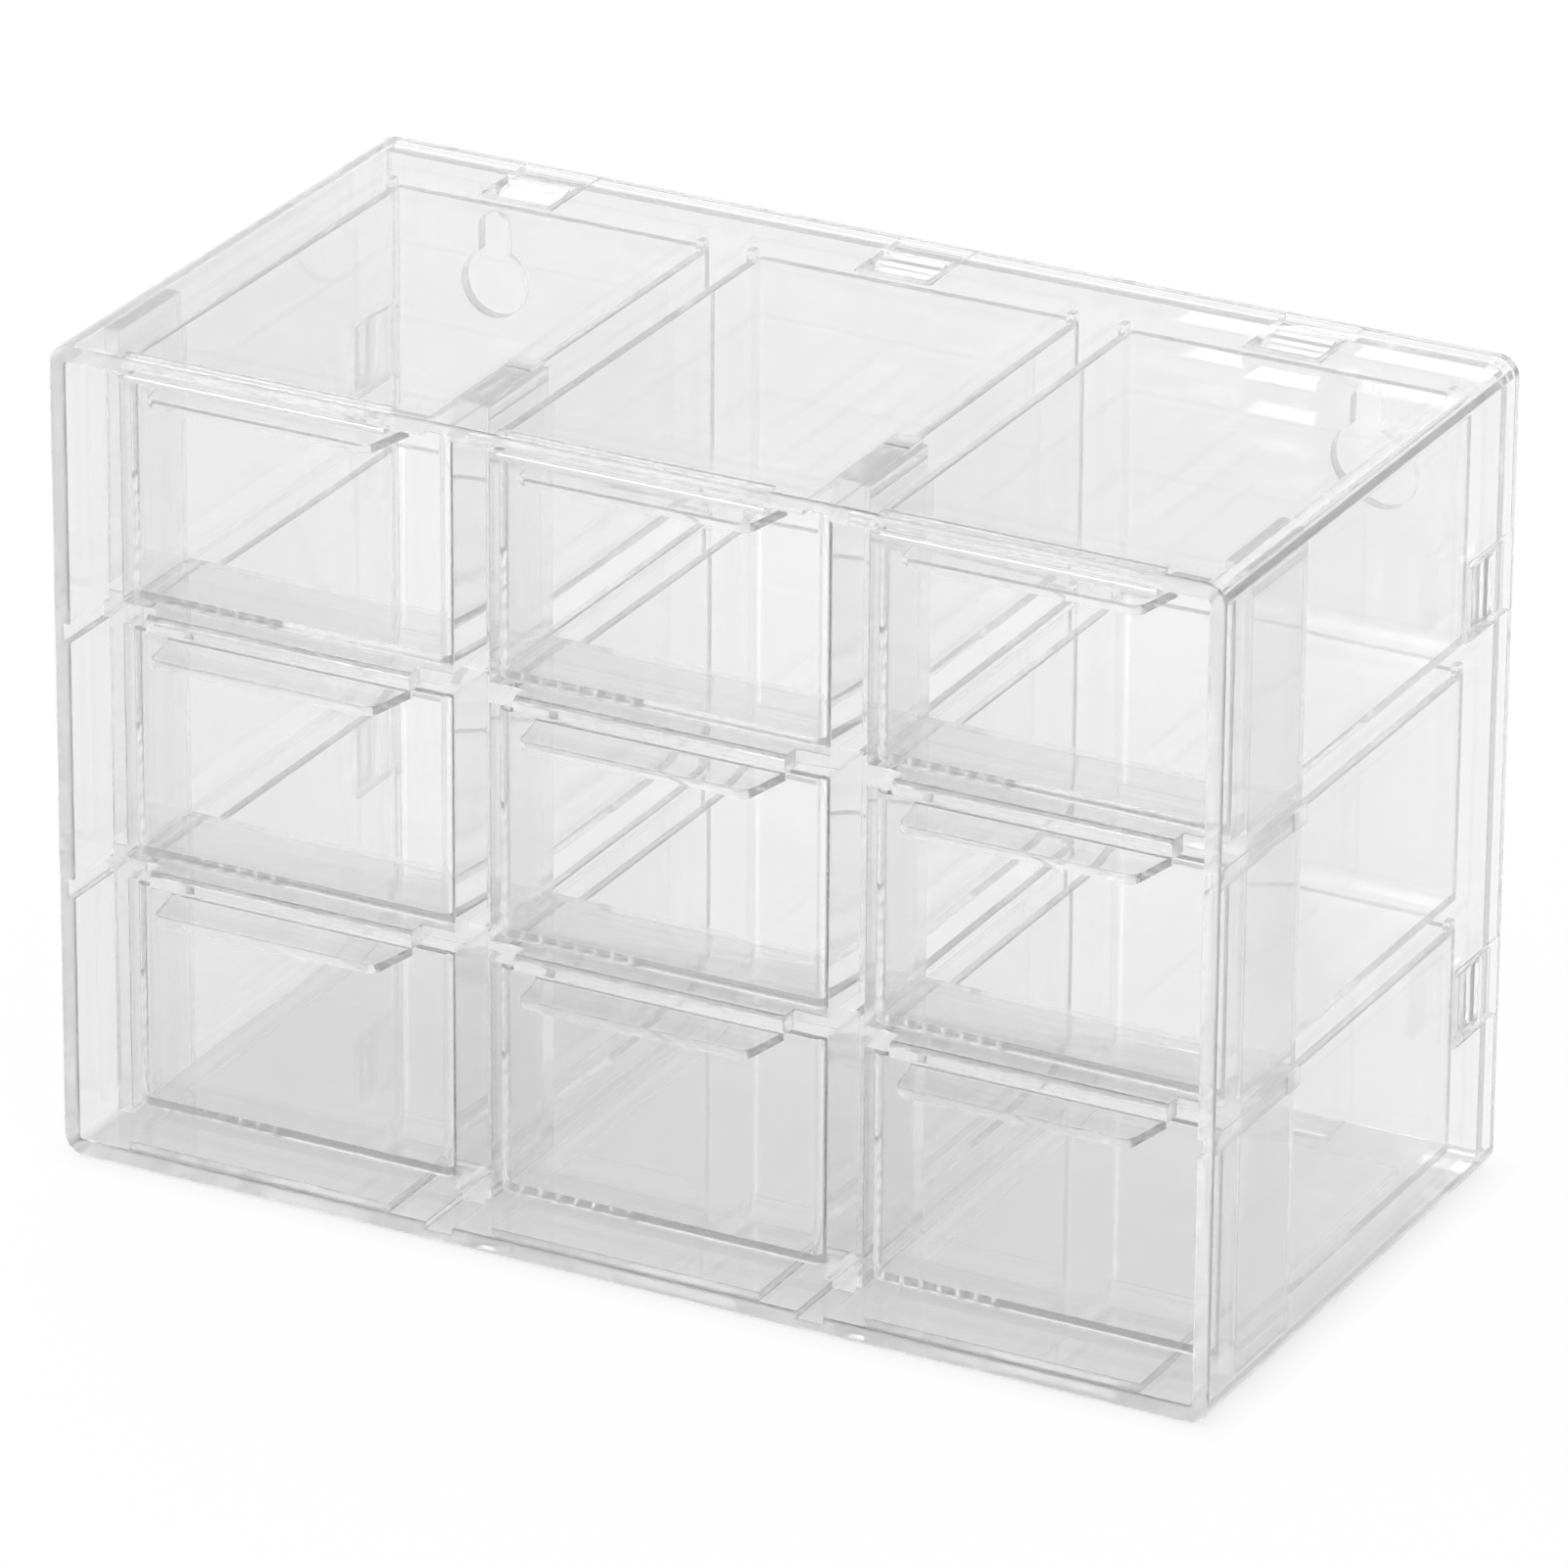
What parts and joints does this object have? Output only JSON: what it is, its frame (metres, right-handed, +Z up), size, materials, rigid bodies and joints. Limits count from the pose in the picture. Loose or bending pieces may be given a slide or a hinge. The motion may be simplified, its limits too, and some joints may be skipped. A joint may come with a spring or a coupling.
{
  "type": "grid storage box",
  "caption": "Clear moulded storage cabinet with a grid of small slide-out drawers for beads, clips and craft parts.",
  "frame": {"origin": "centre of the base, on the surface that the box stands on", "axes": "+X across the width to the right seen from the front, +Y from the open front to the back panel, +Z up"},
  "size_m": [0.175, 0.09, 0.12],
  "materials": {
    "case_clear": "clear",
    "grid_clear": "clear",
    "panel_clear": "clear",
    "drawer_clear": "clear"
  },
  "bodies": {
    "cabinet": {"case_shell": "case_clear", "divider_grid": "grid_clear", "back_panel": "panel_clear"},
    "drawer_bottom_left": {"drawer_bottom_left": "drawer_clear"},
    "drawer_bottom_centre": {"drawer_bottom_centre": "drawer_clear"},
    "drawer_bottom_right": {"drawer_bottom_right": "drawer_clear"},
    "drawer_middle_left": {"drawer_middle_left": "drawer_clear"},
    "drawer_middle_centre": {"drawer_middle_centre": "drawer_clear"},
    "drawer_middle_right": {"drawer_middle_right": "drawer_clear"},
    "drawer_top_left": {"drawer_top_left": "drawer_clear"},
    "drawer_top_centre": {"drawer_top_centre": "drawer_clear"},
    "drawer_top_right": {"drawer_top_right": "drawer_clear"}
  },
  "joints": [
    {"name": "drawer_bottom_left_slide", "type": "slide", "parent": "cabinet", "child": "drawer_bottom_left", "axis": [0, -1, 0], "range_m": [0, 0.0545]},
    {"name": "drawer_bottom_centre_slide", "type": "slide", "parent": "cabinet", "child": "drawer_bottom_centre", "axis": [0, -1, 0], "range_m": [0, 0.0545]},
    {"name": "drawer_bottom_right_slide", "type": "slide", "parent": "cabinet", "child": "drawer_bottom_right", "axis": [0, -1, 0], "range_m": [0, 0.0545]},
    {"name": "drawer_middle_left_slide", "type": "slide", "parent": "cabinet", "child": "drawer_middle_left", "axis": [0, -1, 0], "range_m": [0, 0.0545]},
    {"name": "drawer_middle_centre_slide", "type": "slide", "parent": "cabinet", "child": "drawer_middle_centre", "axis": [0, -1, 0], "range_m": [0, 0.0545]},
    {"name": "drawer_middle_right_slide", "type": "slide", "parent": "cabinet", "child": "drawer_middle_right", "axis": [0, -1, 0], "range_m": [0, 0.0545]},
    {"name": "drawer_top_left_slide", "type": "slide", "parent": "cabinet", "child": "drawer_top_left", "axis": [0, -1, 0], "range_m": [0, 0.0545]},
    {"name": "drawer_top_centre_slide", "type": "slide", "parent": "cabinet", "child": "drawer_top_centre", "axis": [0, -1, 0], "range_m": [0, 0.0545]},
    {"name": "drawer_top_right_slide", "type": "slide", "parent": "cabinet", "child": "drawer_top_right", "axis": [0, -1, 0], "range_m": [0, 0.0545]}
  ]
}
